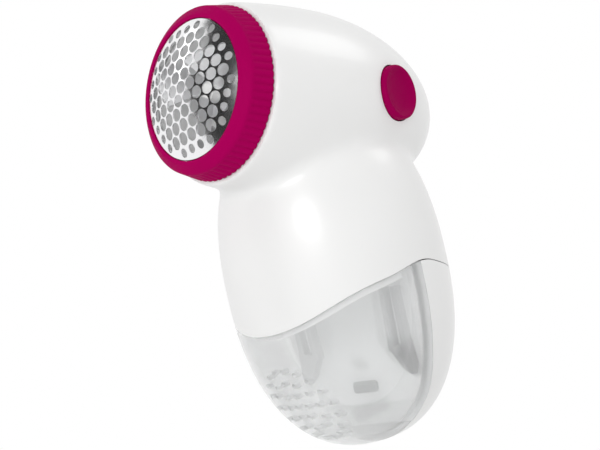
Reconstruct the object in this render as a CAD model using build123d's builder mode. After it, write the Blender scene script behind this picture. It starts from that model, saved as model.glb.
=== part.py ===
from build123d import *
from math import acos, atan2, cos, degrees, hypot, pi, radians, sin, sqrt
import os

# Fabric shaver, millimetres. The foil faces -Y, +Z is up, +X is the button side.
# The origin is the centre of the cutter ring's flat front face, on the blade axis.

os.makedirs("parts", exist_ok=True)

# Outer shape: an egg-shaped head lying along Y, on an egg-shaped handle.
HEAD_R = 28.9
HEAD_FRONT = 9.8
HEAD_WIDEST = 36.9
HEAD_NOSE = 75.0
HEAD_TAIL = 49.6
HANDLE_R = 33.25
HANDLE_HALF = 51.4
HANDLE_POWER = 2.32
PROFILE_STEPS = 18
HANDLE_LEAN = 18.4
HANDLE_Y = 55.95
HANDLE_Z = -48.5
NECK_BLEND = 5.0
WALL = 2.0
CLEAR = 0.3
SEAM_GAP = 0.2
SCREW_R = 1.5
SCREW_HEAD_R = 2.7
SCREW_BOSS_R = 3.0
REACH = 120.0

# Seams in the YZ plane: upper housing over container, container ahead of door.
SEAM_LOW = (22.0, -79.5)
SEAM_BEND = (30.5, -67.8)
SEAM_MIDDLE = (41.0, -57.6)
SEAM_RISE = (52.0, -51.4)
SEAM_TOP = (65.0, -46.3)
SPLIT_V = 4.1
SPLIT_REAR_Y = 72.0
SPLIT_CORNER_R = 14.0
SPLIT_CLEAR = 0.5

# Cutter ring, foil and blades, about the Y axis.
RING_OPENING_R = 21.0
RING_FACE_R = RING_OPENING_R + 1.2
RING_RIDGE_R = RING_OPENING_R + 3.9
RING_RIDGE_Y = 2.0
RING_REAR_R = RING_OPENING_R + 5.1
RING_REAR_Y = HEAD_FRONT - CLEAR
RING_BORE_R = RING_OPENING_R + 2.2
RING_LIP = 1.7
RING_ROUND = 0.6
LIP_BREAK = 0.25
RIB_COUNT = 72
RIB_R = 0.55
TURN_FIT = 0.08
LUG_COUNT = 3
LUG_ARC = 14.0
LUG_DEPTH = 1.1
LUG_Y = (RING_REAR_Y - 1.9, RING_REAR_Y - 0.2)
LUG_PLAY = 0.3
TWIST = 25.0

FOIL_THICK = 0.3
FOIL_R = RING_OPENING_R - 0.25
FOIL_EDGE_Y = 0.25
FOIL_RISE = 4.5
FOIL_FLANGE_R = RING_BORE_R - CLEAR
HOLE_PITCH = 4.1
HOLE_TURN = 12.0
HOLE_R = 1.85
RIM_HOLE_R = 1.3
HOLE_RINGS = 5
RETAINER_R = (RING_OPENING_R + CLEAR, RING_BORE_R - 0.1)
RETAINER_Y = (RING_LIP + FOIL_THICK, RING_LIP + FOIL_THICK + 2.3)

BLADE_GAP = 0.4
BLADE_THICK = 0.5
BLADE_R = FOIL_R - 0.75
BLADE_PITCH = 35.0
BLADE_BACK_Y = 8.6
BLADE_COUNT = 3
HUB_R = 6.0
HUB_NOSE_R = 3.0
HUB_BACK_Y = 14.5
SHAFT_R = 1.0
SHAFT_FIT = 0.05

# Cutter bed: the cup behind the foil.
BED_INNER_R = RING_OPENING_R + CLEAR
BED_FRONT_Y = RETAINER_Y[1] + 0.4
BED_FLANGE_R = RING_BORE_R + 1.4
BED_FLANGE_Y = (HEAD_FRONT + 0.1, HEAD_FRONT + 2.2)
BED_FLOOR_Y = (19.5, 21.5)
BED_SCREW_R = BED_INNER_R - SCREW_HEAD_R - 0.6
BED_SCREW_ANGLES = (90, 210, 330)
OUTLET_X = 6.6
OUTLET_Z = (-20.0, -14.2)
LEDGE_DEPTH = 1.6
BED_BOSS_DEPTH = 14.0
BED_SCREW_GRIP = 9.5
RIB_THICK = 2.0

# Motor.
CAN_R = 10.0
CAN_FLAT = 7.55
CAN_LENGTH = 20.0
CAN_WALL = 0.8
CAP_LENGTH = 4.6
BOSS_R = 3.0
BOSS_Y = 20.0
ARMATURE_R = 6.6

# Cells and their tray, in the handle's own frame: x, v to the rear, w upwards.
CELL_R = 7.25
CELL_BODY = 49.2
CELL_NUB = 1.3
CELL_NUB_R = 2.7
CELL_PITCH = 15.2
CELL_V = 13.8
TRAY_WALL = 1.4
TRAY_LOW_W = -34.5
SPRING_LENGTH = 5.0
PLATE_THICK = 0.4
DIMPLE = 0.5
TRAY_SCREW = (20.0, 14.5)
TRAY_BOSS_DEPTH = 11.0
TRAY_SCREW_GRIP = 7.5
EAR_W = (2.0, 4.0)

# Container.
REAR_WALL = 2.3
VENT_R = 0.75
VENT_W = -34.6
VENT_RINGS = ((4.0, 6), (7.9, 12), (11.8, 18))
PAD_SIZE = (10.4, 3.5)
PAD_W = -35.1

# Button and switch, along the head's own normal at the button.
BUTTON_Y = 56.6
BUTTON_TILT = 6.7
BUTTON_R = 8.2
BUTTON_HOLE_R = BUTTON_R + 0.35
BUTTON_PROUD = 1.1
BUTTON_TRAVEL = 1.5
BUTTON_FLANGE_R = BUTTON_R + 1.6
COLLAR_R = BUTTON_R + 3.2
COLLAR_DEPTH = 4.6
CARRIER_SCREW = COLLAR_R + SCREW_BOSS_R + 0.2
EAR_FRONT = 6.0
CARRIER_GRIP = 2.6

WIRE_R = 0.6

lean = radians(HANDLE_LEAN)
handle_side = Plane(
    origin=(0, HANDLE_Y, HANDLE_Z),
    x_dir=(0, cos(lean), sin(lean)),
    z_dir=(1, 0, 0),
)
handle_up = Plane(
    origin=(0, HANDLE_Y, HANDLE_Z),
    x_dir=(1, 0, 0),
    z_dir=(0, -sin(lean), cos(lean)),
)
handle_back = Plane(
    origin=(0, HANDLE_Y, HANDLE_Z),
    x_dir=(-1, 0, 0),
    z_dir=(0, cos(lean), sin(lean)),
)
handle_axis = Axis(origin=(0, HANDLE_Y, HANDLE_Z), direction=(0, -sin(lean), cos(lean)))


def in_handle(x, v, w):
    """World point of a place in the handle's own frame."""
    return (
        x,
        HANDLE_Y + v * cos(lean) - w * sin(lean),
        HANDLE_Z + v * sin(lean) + w * cos(lean),
    )


def body_solid(inset):
    """Head and handle as one solid, drawn inset inside the outer skin."""
    middle = (HEAD_WIDEST, 0)
    width = HEAD_R - inset
    front = degrees(acos((HEAD_FRONT - HEAD_WIDEST) / HEAD_NOSE))
    handle_points = []
    for step in range(PROFILE_STEPS + 1):
        angle = pi * step / PROFILE_STEPS
        reach = (abs(sin(angle)) ** HANDLE_POWER + abs(cos(angle)) ** HANDLE_POWER) ** (-1 / HANDLE_POWER)
        radius = (HANDLE_R - inset) * reach * sin(angle)
        handle_points.append((radius, (HANDLE_HALF - inset) * reach * cos(angle)))
    handle_points[-1] = (0, inset - HANDLE_HALF)
    with BuildPart() as shape:
        with BuildSketch(Plane.YZ):
            with BuildLine():
                tail = EllipticalCenterArc(middle, HEAD_TAIL - inset, width, start_angle=0, arc_size=90)
                nose = EllipticalCenterArc(middle, HEAD_NOSE, width, start_angle=90, arc_size=front - 90)
                Polyline(nose @ 1, (HEAD_FRONT, 0), tail @ 0)
            make_face()
        revolve(axis=Axis.Y)
        with BuildSketch(handle_side):
            with BuildLine():
                Spline(handle_points)
                Line(handle_points[-1], handle_points[0])
            make_face()
        revolve(axis=handle_axis)
    return shape.part


def seam_zone(shift, above):
    """Everything above or below the housing seam, moved down and back by shift."""
    with BuildPart() as zone:
        with BuildSketch(Plane.YZ.offset(-REACH / 2)):
            with BuildLine():
                low = (SEAM_LOW[0] + shift, SEAM_LOW[1] - shift)
                bend = (SEAM_BEND[0] + shift, SEAM_BEND[1] - shift)
                middle = (SEAM_MIDDLE[0] + shift, SEAM_MIDDLE[1] - shift)
                rise = (SEAM_RISE[0] + shift, SEAM_RISE[1] - shift)
                top = (SEAM_TOP[0] + shift, SEAM_TOP[1] - shift)
                Spline(low, bend, middle, rise, top, tangents=[(0.6, 1), (1, 0.06)])
                far = REACH if above else -2 * REACH
                Polyline(
                    top,
                    (REACH + HANDLE_Y, top[1]),
                    (REACH + HANDLE_Y, far),
                    (low[0] - REACH, far),
                    (low[0] - REACH, low[1]),
                    low,
                )
            make_face()
        extrude(amount=REACH)
    return zone.part


def split_zone(shift, ahead):
    """Everything ahead of or behind the container's rear edge, moved back by shift."""
    v = SPLIT_V + shift
    top = in_handle(0, v, REACH / 2)
    rear_y = SPLIT_REAR_Y + shift
    corner_w = (HANDLE_Y + v * cos(lean) - rear_y) / sin(lean)
    corner = in_handle(0, v, corner_w)
    far_y = HANDLE_Y - REACH if ahead else HANDLE_Y + REACH
    with BuildPart() as zone:
        with BuildSketch(Plane.YZ.offset(-REACH / 2)):
            with BuildLine():
                Polyline(
                    (top[1], top[2]),
                    (corner[1], corner[2]),
                    (rear_y, -REACH * 1.5),
                    (far_y, -REACH * 1.5),
                    (far_y, top[2]),
                    close=True,
                )
            make_face()
            corners = [p for p in vertices() if abs(p.Z - corner[2]) < 0.01 and abs(p.Y - corner[1]) < 0.01]
            fillet(corners, SPLIT_CORNER_R)
        extrude(amount=REACH)
    return zone.part


def ring_block(inner, outer, y_front, y_back, middle, width):
    """Part of a ring about the Y axis, from one angle to another."""
    with BuildPart() as block:
        with BuildSketch(Plane.XZ.offset(-y_back)):
            Circle(outer)
            Circle(inner, mode=Mode.SUBTRACT)
            spread = radians(width / 2)
            turn = radians(middle)
            far = 3 * outer
            with BuildLine(mode=Mode.PRIVATE) as wedge:
                Polyline(
                    (0, 0),
                    (far * cos(turn - spread), far * sin(turn - spread)),
                    (far * cos(turn + spread), far * sin(turn + spread)),
                    close=True,
                )
            add(make_face(wedge.line, mode=Mode.PRIVATE), mode=Mode.INTERSECT)
        extrude(amount=y_back - y_front)
    return block.part


def dome_y(radius, back):
    """Y of the foil's front face at a radius, moved back by a distance."""
    bend = (FOIL_R ** 2 + FOIL_RISE ** 2) / (2 * FOIL_RISE)
    return FOIL_EDGE_Y - FOIL_RISE + back + bend - sqrt(bend ** 2 - radius ** 2)


def save(piece, name):
    """Label a finished piece and write its file."""
    piece.label = name
    export_step(piece, "parts/" + name + ".step")
    print(name, len(piece.solids()), piece.is_valid)


def pan_screw(shank, head_plane):
    """Pan-head screw with a crossed recess; the plane's normal leaves the head."""
    with BuildPart() as screw:
        with BuildSketch(head_plane):
            Circle(SCREW_HEAD_R)
        extrude(amount=1.6)
        top = Axis(origin=head_plane.origin, direction=head_plane.z_dir)
        fillet(screw.edges().filter_by(GeomType.CIRCLE).sort_by(top)[-1], 0.7)
        with BuildSketch(head_plane):
            Circle(SCREW_R)
        extrude(amount=-shank)
        with BuildSketch(head_plane.offset(1.6)):
            Rectangle(2.8, 0.6)
            Rectangle(0.6, 2.8)
        extrude(amount=-0.9, mode=Mode.SUBTRACT)
    return screw.part


def wire(points, start, finish):
    """Insulated wire along a smooth run through the points."""
    with BuildPart() as run:
        with BuildLine() as path:
            Spline(points, tangents=[start, finish])
        with BuildSketch(Plane(origin=points[0], z_dir=start)):
            Circle(WIRE_R)
        sweep(path=path.line)
    return run.part


# Skins shared by the shells. The crease is the one edge that is neither flat nor in X = 0.
outer_plain = body_solid(0)
crease = [
    edge
    for edge in outer_plain.edges()
    if edge.bounding_box().size.X > 1 and edge.bounding_box().size.Y > 1
]
outer_skin = fillet(crease, NECK_BLEND)
inner_skin = body_solid(WALL)

# Button frame: origin on the skin, z outwards.
button_lift = BUTTON_Y - HEAD_WIDEST
button_radius = HEAD_R * sqrt(1 - (button_lift / HEAD_TAIL) ** 2)
tilt = radians(BUTTON_TILT)
button_point = (button_radius * cos(tilt), BUTTON_Y, button_radius * sin(tilt))
button_normal = Vector(
    button_point[0] / HEAD_R ** 2,
    button_lift / HEAD_TAIL ** 2,
    button_point[2] / HEAD_R ** 2,
).normalized()
button_plane = Plane(origin=button_point, x_dir=(0, 0, 1), z_dir=button_normal)


# Bosses, ledge and collar that grow inwards from the housing's wall.
wall_middle = body_solid(WALL / 2)
with BuildPart() as housing_fittings:
    # Ledge that the cutter bed's flange seats on.
    with BuildSketch(Plane.XZ.offset(-BED_FLANGE_Y[1] - LEDGE_DEPTH)):
        Circle(HEAD_R)
        Circle(RING_BORE_R + CLEAR, mode=Mode.SUBTRACT)
    extrude(amount=LEDGE_DEPTH)
    # Bosses for the bed screws, tied to the wall.
    with BuildSketch(Plane.XZ.offset(-BED_FLOOR_Y[1] - BED_BOSS_DEPTH)):
        for angle in BED_SCREW_ANGLES:
            turn = radians(angle)
            with Locations((BED_SCREW_R * cos(turn), BED_SCREW_R * sin(turn))):
                Circle(SCREW_BOSS_R)
            middle = (BED_SCREW_R + HEAD_R) / 2
            with Locations(Location((middle * cos(turn), middle * sin(turn)), angle)):
                Rectangle(HEAD_R - BED_SCREW_R, RIB_THICK)
    extrude(amount=BED_BOSS_DEPTH)
    # Bosses for the tray screws, tied to the wall.
    with BuildSketch(handle_up.offset(EAR_W[1])):
        for side in (-1, 1):
            with Locations((side * TRAY_SCREW[0], TRAY_SCREW[1])):
                Circle(SCREW_BOSS_R)
            turn = atan2(TRAY_SCREW[1], side * TRAY_SCREW[0])
            reach = hypot(*TRAY_SCREW)
            middle = (reach + HANDLE_R) / 2
            with Locations(Location((middle * cos(turn), middle * sin(turn)), degrees(turn))):
                Rectangle(HANDLE_R - reach, RIB_THICK)
    extrude(amount=TRAY_BOSS_DEPTH)
    # Flat collar behind the button and bosses for the switch carrier's screws.
    with BuildSketch(button_plane.offset(-COLLAR_DEPTH)):
        Circle(COLLAR_R)
    extrude(amount=COLLAR_DEPTH)
    with BuildSketch(button_plane.offset(-EAR_FRONT)):
        with Locations((0, -CARRIER_SCREW), (0, CARRIER_SCREW)):
            Circle(SCREW_BOSS_R)
    extrude(amount=EAR_FRONT)
    add(wall_middle, mode=Mode.INTERSECT)


# Upper housing: one white shell for the head and the upper handle.
housing_above = seam_zone(-SEAM_GAP, True)
with BuildPart() as upper_housing:
    add(outer_skin)
    add(inner_skin, mode=Mode.SUBTRACT)
    add(housing_fittings.part)
    add(housing_above, mode=Mode.INTERSECT)
    # Button hole and pilot holes.
    with BuildSketch(button_plane.offset(-COLLAR_DEPTH)):
        Circle(BUTTON_HOLE_R)
    extrude(amount=2 * COLLAR_DEPTH, mode=Mode.SUBTRACT)
    with BuildSketch(Plane.XZ.offset(-BED_FLOOR_Y[1] - BED_SCREW_GRIP)):
        for angle in BED_SCREW_ANGLES:
            with Locations((BED_SCREW_R * cos(radians(angle)), BED_SCREW_R * sin(radians(angle)))):
                Circle(SCREW_R)
    extrude(amount=BED_SCREW_GRIP, mode=Mode.SUBTRACT)
    with BuildSketch(handle_up.offset(EAR_W[1])):
        with Locations((-TRAY_SCREW[0], TRAY_SCREW[1]), (TRAY_SCREW[0], TRAY_SCREW[1])):
            Circle(SCREW_R)
    extrude(amount=TRAY_SCREW_GRIP, mode=Mode.SUBTRACT)
    with BuildSketch(button_plane.offset(-EAR_FRONT)):
        with Locations((0, -CARRIER_SCREW), (0, CARRIER_SCREW)):
            Circle(SCREW_R)
    extrude(amount=CARRIER_GRIP, mode=Mode.SUBTRACT)
save(upper_housing.part, "upper_housing")


# Cutter ring: knurled magenta ring with three bayonet lugs in its bore.
groove_from = Vector(RING_RIDGE_R + 0.3, RING_RIDGE_Y + 0.6, 0)
groove_to = Vector(RING_REAR_R + 0.3, RING_REAR_Y + 0.8, 0)
groove_run = groove_to - groove_from
groove = Solid.make_cylinder(RIB_R, groove_run.length, Plane(origin=groove_from, z_dir=groove_run))
grooves = [groove.rotate(Axis.Y, 360 * k / RIB_COUNT) for k in range(RIB_COUNT)]
lug_angles = [90 + 360 * k / LUG_COUNT for k in range(LUG_COUNT)]
lugs = [
    ring_block(RING_BORE_R - LUG_DEPTH, RING_BORE_R + 0.5, LUG_Y[0], LUG_Y[1], angle, LUG_ARC)
    for angle in lug_angles
]
with BuildPart() as cutter_ring:
    with BuildSketch(Plane.XY):
        with BuildLine():
            Polyline(
                (RING_OPENING_R, RING_LIP),
                (RING_OPENING_R, LIP_BREAK),
                (RING_OPENING_R + LIP_BREAK, 0),
                (RING_FACE_R, 0),
                (RING_RIDGE_R, RING_RIDGE_Y),
                (RING_REAR_R, RING_REAR_Y),
                (RING_BORE_R, RING_REAR_Y),
                (RING_BORE_R, RING_LIP),
                close=True,
            )
        make_face()
        face_edge = [p for p in vertices() if abs(p.X - RING_FACE_R) < 0.01]
        ridge = [p for p in vertices() if abs(p.X - RING_RIDGE_R) < 0.01]
        fillet(face_edge + ridge, RING_ROUND)
    revolve(axis=Axis.Y)
    add(grooves, mode=Mode.SUBTRACT)
    add(lugs)
save(cutter_ring.part, "cutter_ring")


# Foil: thin steel dome with a hexagonal array of round holes, small ones round its rim, and
# a flat flange behind the ring's lip.
def hexagon_sides(ring, first):
    """Hole places along the six sides of one hexagon of the array, from a side's first one."""
    places = []
    for side in range(6):
        turn = HOLE_TURN + 60 * side
        corner = Vector(ring * HOLE_PITCH, 0).rotate(Axis.Z, turn)
        step = Vector(HOLE_PITCH, 0).rotate(Axis.Z, turn + 120)
        places += [corner + step * k for k in range(first, ring)]
    return places


with BuildPart() as foil:
    with BuildSketch(Plane.XY):
        with BuildLine():
            back = FOIL_THICK
            flange_y = RING_LIP
            half = FOIL_R / 2
            ThreePointArc((0, dome_y(0, 0)), (half, dome_y(half, 0)), (FOIL_R, FOIL_EDGE_Y))
            Polyline(
                (FOIL_R, FOIL_EDGE_Y),
                (FOIL_R + 0.1, flange_y),
                (FOIL_FLANGE_R, flange_y),
                (FOIL_FLANGE_R, flange_y + back),
                (FOIL_R - 0.2, flange_y + back),
                (FOIL_R - 0.3, dome_y(FOIL_R - 0.3, back)),
            )
            inner_edge = (FOIL_R - 0.3, dome_y(FOIL_R - 0.3, back))
            ThreePointArc(inner_edge, (half, dome_y(half, back)), (0, dome_y(0, back)))
            Line((0, dome_y(0, back)), (0, dome_y(0, 0)))
        make_face()
    revolve(axis=Axis.Y)
    with BuildSketch(Plane.XZ.offset(-RING_LIP + 0.1)):
        Circle(HOLE_R)
        for ring in range(1, HOLE_RINGS):
            with Locations(hexagon_sides(ring, 0)):
                Circle(HOLE_R)
        with Locations(hexagon_sides(HOLE_RINGS, 1)):
            Circle(RIM_HOLE_R)
    extrude(amount=2 * FOIL_RISE, mode=Mode.SUBTRACT)
save(foil.part, "foil")


# Retainer: plastic ring that holds the foil's flange in the cutter ring.
with BuildPart() as foil_retainer:
    with BuildSketch(Plane.XZ.offset(-RETAINER_Y[1])):
        Circle(RETAINER_R[1])
        Circle(RETAINER_R[0], mode=Mode.SUBTRACT)
    extrude(amount=RETAINER_Y[1] - RETAINER_Y[0])
    chamfer(foil_retainer.edges().filter_by(GeomType.CIRCLE).sort_by(Axis.Y)[-2:], 0.3)
save(foil_retainer.part, "foil_retainer")


# Cutter bed: cup behind the foil with a spigot for the ring, a flange and the lint outlet.
# Each bayonet slot is a track round the spigot with a mouth at its far end.
spigot_r = RING_BORE_R - TURN_FIT
slot_r = RING_BORE_R - LUG_DEPTH - LUG_PLAY
slot_front = LUG_Y[0] - LUG_PLAY
slot_out = BED_FLANGE_R + 1
slot_arc = LUG_ARC + 3
slots = []
for angle in lug_angles:
    turn = angle + TWIST
    slots.append(
        ring_block(slot_r, slot_out, slot_front, BED_FLANGE_Y[0], angle + TWIST / 2, slot_arc + TWIST)
    )
    slots.append(ring_block(slot_r, slot_out, BED_FRONT_Y - 1, slot_front + 0.1, turn, slot_arc))
with BuildPart() as cutter_bed:
    with BuildSketch(Plane.XY):
        with BuildLine():
            Polyline(
                (BED_INNER_R, BED_FRONT_Y),
                (spigot_r, BED_FRONT_Y),
                (spigot_r, BED_FLANGE_Y[0]),
                (BED_FLANGE_R, BED_FLANGE_Y[0]),
                (BED_FLANGE_R, BED_FLANGE_Y[1]),
                (spigot_r, BED_FLANGE_Y[1]),
                (spigot_r, BED_FLOOR_Y[1]),
                (0, BED_FLOOR_Y[1]),
                (0, BED_FLOOR_Y[0]),
                (BED_INNER_R, BED_FLOOR_Y[0]),
                close=True,
            )
        make_face()
    revolve(axis=Axis.Y)
    add(slots, mode=Mode.SUBTRACT)
    with BuildSketch(Plane.XZ.offset(-BED_FLOOR_Y[1])):
        Circle(BOSS_R + SHAFT_FIT)
        with Locations((0, (OUTLET_Z[0] + OUTLET_Z[1]) / 2)):
            Rectangle(2 * OUTLET_X, OUTLET_Z[1] - OUTLET_Z[0])
        for angle in BED_SCREW_ANGLES:
            with Locations((BED_SCREW_R * cos(radians(angle)), BED_SCREW_R * sin(radians(angle)))):
                Circle(SCREW_R)
    extrude(amount=BED_FLOOR_Y[1] - BED_FLOOR_Y[0], mode=Mode.SUBTRACT)
save(cutter_bed.part, "cutter_bed")


# Screws that hold the cutter bed to the housing's bosses.
bed_screw_set = []
for angle in BED_SCREW_ANGLES:
    turn = radians(angle)
    place = (BED_SCREW_R * cos(turn), BED_FLOOR_Y[0], BED_SCREW_R * sin(turn))
    head_plane = Plane(origin=place, x_dir=(1, 0, 0), z_dir=(0, -1, 0))
    bed_screw_set.append(pan_screw(BED_FLOOR_Y[1] - BED_FLOOR_Y[0] + BED_SCREW_GRIP, head_plane))
with BuildPart() as bed_screws:
    add(bed_screw_set)
save(bed_screws.part, "bed_screws")


# Blades: a stamped steel plate with three slanted wings that follow the foil.
with BuildPart() as blades:
    with BuildSketch(Plane.XZ.offset(-BLADE_BACK_Y)):
        Circle(HUB_R + 2)
    extrude(amount=0.6)
    for k in range(BLADE_COUNT):
        angle = radians(20 + 360 * k / BLADE_COUNT)
        pitch = radians(BLADE_PITCH)
        radial = Vector(cos(angle), 0, sin(angle))
        rise = Vector(-sin(angle) * sin(pitch), -cos(pitch), cos(angle) * sin(pitch))
        with BuildSketch(Plane(origin=(0, BLADE_BACK_Y, 0), x_dir=radial, z_dir=radial.cross(rise))):
            with Locations((BLADE_R / 2 + 2.2, 8)):
                Rectangle(BLADE_R, 16)
        extrude(amount=BLADE_THICK / 2, both=True)
    with BuildSketch(Plane.XY):
        with BuildLine():
            gap = FOIL_THICK + BLADE_GAP
            half = BLADE_R / 2
            ThreePointArc((0, dome_y(0, gap)), (half, dome_y(half, gap)), (BLADE_R, dome_y(BLADE_R, gap)))
            Polyline(
                (BLADE_R, dome_y(BLADE_R, gap)),
                (BLADE_R, BLADE_BACK_Y),
                (0, BLADE_BACK_Y),
                (0, dome_y(0, gap)),
            )
        make_face()
    revolve(axis=Axis.Y, mode=Mode.INTERSECT)
    with BuildSketch(Plane.XZ.offset(-BLADE_BACK_Y)):
        Circle(HUB_NOSE_R)
    extrude(amount=3 * BLADE_BACK_Y, mode=Mode.SUBTRACT)
save(blades.part, "blades")


# Hub: plastic boss that carries the blades on the motor shaft.
with BuildPart() as blade_hub:
    with BuildSketch(Plane.XY):
        with BuildLine():
            Polyline(
                (0, BLADE_BACK_Y - 3.6),
                (HUB_NOSE_R - 0.6, BLADE_BACK_Y - 3.6),
                (HUB_NOSE_R, BLADE_BACK_Y - 3.0),
                (HUB_NOSE_R, BLADE_BACK_Y),
                (HUB_R, BLADE_BACK_Y),
                (HUB_R, BLADE_BACK_Y + 1.8),
                (HUB_R - 1.8, BLADE_BACK_Y + 1.8),
                (HUB_R - 1.8, HUB_BACK_Y),
                (SHAFT_R, HUB_BACK_Y),
                (SHAFT_R, BLADE_BACK_Y - 2),
                (0, BLADE_BACK_Y - 2),
                close=True,
            )
        make_face()
    revolve(axis=Axis.Y)
save(blade_hub.part, "blade_hub")


# Motor shaft.
can_front = BED_FLOOR_Y[1]
can_back = can_front + CAN_LENGTH
cap_back = can_back + CAP_LENGTH
with BuildPart() as motor_shaft:
    with BuildSketch(Plane.XZ.offset(-cap_back)):
        Circle(SHAFT_R)
    extrude(amount=cap_back - BLADE_BACK_Y + 2)
save(motor_shaft.part, "motor_shaft")


# Motor can: drawn steel with two flats and a front bearing boss.
with BuildPart() as motor_can:
    with BuildSketch(Plane.XZ.offset(-can_back)):
        Circle(CAN_R)
        Rectangle(2 * CAN_R, 2 * CAN_FLAT, mode=Mode.INTERSECT)
    extrude(amount=CAN_LENGTH)
    with BuildSketch(Plane.XZ.offset(-can_back)):
        Circle(CAN_R - CAN_WALL)
        Rectangle(2 * CAN_R, 2 * (CAN_FLAT - CAN_WALL), mode=Mode.INTERSECT)
    extrude(amount=CAN_LENGTH - CAN_WALL, mode=Mode.SUBTRACT)
    with BuildSketch(Plane.XZ.offset(-can_front)):
        Circle(BOSS_R)
    extrude(amount=can_front - BOSS_Y)
    with BuildSketch(Plane.XZ.offset(-can_back)):
        Circle(SHAFT_R + SHAFT_FIT)
    extrude(amount=CAN_LENGTH + can_front, mode=Mode.SUBTRACT)
save(motor_can.part, "motor_can")


# Two arc magnets bonded inside the can.
MAGNET_ARC = 84.0
MAGNET_END = 3.5
magnet_out = CAN_R - CAN_WALL - 0.05
magnet_in = CAN_R - 2.6
magnet_arcs = [
    ring_block(magnet_in, magnet_out, can_front + MAGNET_END, can_back - MAGNET_END, middle, MAGNET_ARC)
    for middle in (0, 180)
]
with BuildPart() as motor_magnets:
    add(magnet_arcs)
save(motor_magnets.part, "motor_magnets")


# Armature: slotted iron stack with windings and a commutator.
with BuildPart() as motor_armature:
    with BuildSketch(Plane.XZ.offset(-(can_back - 5))):
        Circle(ARMATURE_R)
        with PolarLocations(ARMATURE_R - 1, 3, start_angle=30):
            Rectangle(3.4, 1.4, mode=Mode.SUBTRACT)
    extrude(amount=CAN_LENGTH - 9.5)
    with BuildSketch(Plane.XZ.offset(-(can_back - 3.2))):
        Circle(ARMATURE_R - 1.8)
    extrude(amount=CAN_LENGTH - 6)
    with BuildSketch(Plane.XZ.offset(-(can_back - 0.8))):
        Circle(2.3)
    extrude(amount=3)
    with BuildSketch(Plane.XZ.offset(-can_back)):
        Circle(SHAFT_R)
    extrude(amount=CAN_LENGTH, mode=Mode.SUBTRACT)
save(motor_armature.part, "motor_armature")


# Motor end cap: nylon, with a rear bearing boss.
with BuildPart() as motor_end_cap:
    with BuildSketch(Plane.XZ.offset(-(cap_back - 1.5))):
        Circle(CAN_R)
        Rectangle(2 * CAN_R, 2 * CAN_FLAT, mode=Mode.INTERSECT)
    extrude(amount=CAP_LENGTH - 1.5)
    with BuildSketch(Plane.XZ.offset(-can_back)):
        Circle(CAN_R - CAN_WALL)
        Rectangle(2 * CAN_R, 2 * (CAN_FLAT - CAN_WALL), mode=Mode.INTERSECT)
        Circle(CAN_R - 2.6, mode=Mode.SUBTRACT)
    extrude(amount=1.5)
    with BuildSketch(Plane.XZ.offset(-cap_back)):
        Circle(BOSS_R)
    extrude(amount=1.5)
    with BuildSketch(Plane.XZ.offset(-cap_back)):
        Circle(SHAFT_R + SHAFT_FIT)
    extrude(amount=CAP_LENGTH, mode=Mode.SUBTRACT)
save(motor_end_cap.part, "motor_end_cap")


# Motor terminals: brass tabs standing out of the end cap.
terminal_x = 7.0
terminal_tip = cap_back + 2.4
with BuildPart() as motor_terminals:
    with BuildSketch(Plane.XZ.offset(-terminal_tip)):
        with Locations((-terminal_x, 0), (terminal_x, 0)):
            Rectangle(0.5, 2.4)
    extrude(amount=terminal_tip - cap_back + 1.5)
save(motor_terminals.part, "motor_terminals")


# Motor cradle: strap over the motor's flats, footed on the back of the cutter bed.
cradle_out = CAN_FLAT + 1.5
with BuildPart() as motor_cradle:
    with BuildSketch(Plane.YZ.offset(-5)):
        with BuildLine():
            Polyline(
                (can_front, -cradle_out - 3),
                (can_front + 2, -cradle_out - 3),
                (can_front + 2, -cradle_out),
                (cap_back + 0.4, -cradle_out),
                (cap_back + 0.4, cradle_out),
                (can_front + 2, cradle_out),
                (can_front + 2, cradle_out + 3),
                (can_front, cradle_out + 3),
                (can_front, CAN_FLAT),
                (cap_back - 1.5, CAN_FLAT),
                (cap_back - 1.5, -CAN_FLAT),
                (can_front, -CAN_FLAT),
                close=True,
            )
        make_face()
    extrude(amount=10)
    with BuildSketch(Plane.XZ.offset(-(cap_back + 1))):
        Circle(BOSS_R)
    extrude(amount=4, mode=Mode.SUBTRACT)
save(motor_cradle.part, "motor_cradle")


# Lint chute: flat duct from the outlet in the cutter bed down to the deck.
CHUTE_X = 8.0
CHUTE_WALL = 1.2
CHUTE_RUN = ((16, -15.1), (29, -29.5), (37.5, -72), (51.4, -72), (35, -20.5), (16, -9.9))
DECK_BOTTOM = -0.9
DECK_TOP = -2.3
with BuildPart() as duct_space:
    with BuildSketch(Plane.YZ.offset(-(CHUTE_X - CHUTE_WALL))):
        with BuildLine():
            Polyline(*CHUTE_RUN, close=True)
        make_face()
        offset(amount=-CHUTE_WALL)
    extrude(amount=2 * (CHUTE_X - CHUTE_WALL))
chute_end = seam_zone(DECK_TOP - 0.1, True)
with BuildPart() as lint_chute:
    with BuildSketch(Plane.YZ.offset(-CHUTE_X)):
        with BuildLine():
            Polyline(*CHUTE_RUN, close=True)
        make_face()
    extrude(amount=2 * CHUTE_X)
    add(duct_space.part, mode=Mode.SUBTRACT)
    with Locations((0, BED_FLOOR_Y[1] + REACH / 2, 0)):
        Box(REACH, REACH, 2 * REACH, mode=Mode.INTERSECT)
    add(chute_end, mode=Mode.INTERSECT)
save(lint_chute.part, "lint_chute")


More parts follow.
